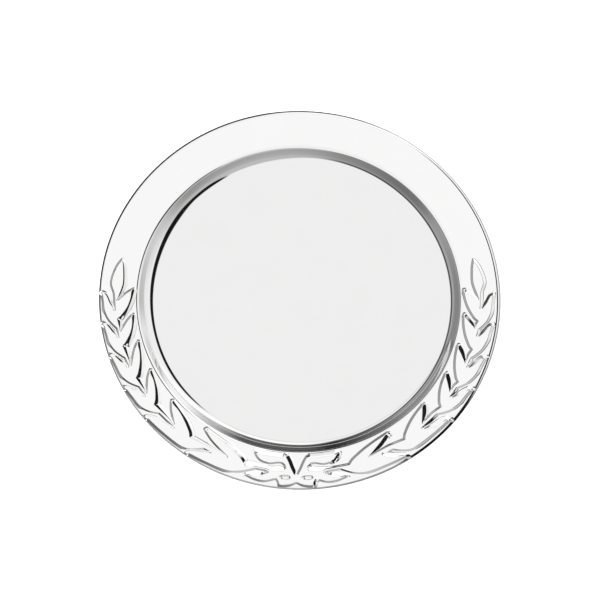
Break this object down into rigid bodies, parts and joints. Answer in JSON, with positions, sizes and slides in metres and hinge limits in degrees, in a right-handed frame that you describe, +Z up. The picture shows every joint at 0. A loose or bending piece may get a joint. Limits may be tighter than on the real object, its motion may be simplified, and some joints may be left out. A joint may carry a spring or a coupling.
{
  "type": "offering plate",
  "caption": "Round metal plate with a flat-floored well, broad gently rising rim and an applied laurel spray tied with a bow.",
  "frame": {"origin": "centre of the flat underside the plate rests on", "axes": "+Z up out of the well, -Y towards the bow of the laurel spray, +X to the right seen from the bow"},
  "size_m": [0.3, 0.3, 0.0123],
  "materials": {
    "polished_silver": "mirror-polished silver plate",
    "edge_silver": "mirror-polished silver plate",
    "cast_silver": "polished cast silver"
  },
  "bodies": {
    "root": {"dish_body": "polished_silver", "edge_wire": "edge_silver", "laurel_branch_left": "cast_silver", "laurel_branch_right": "cast_silver", "ribbon_bow": "cast_silver"}
  },
  "joints": []
}
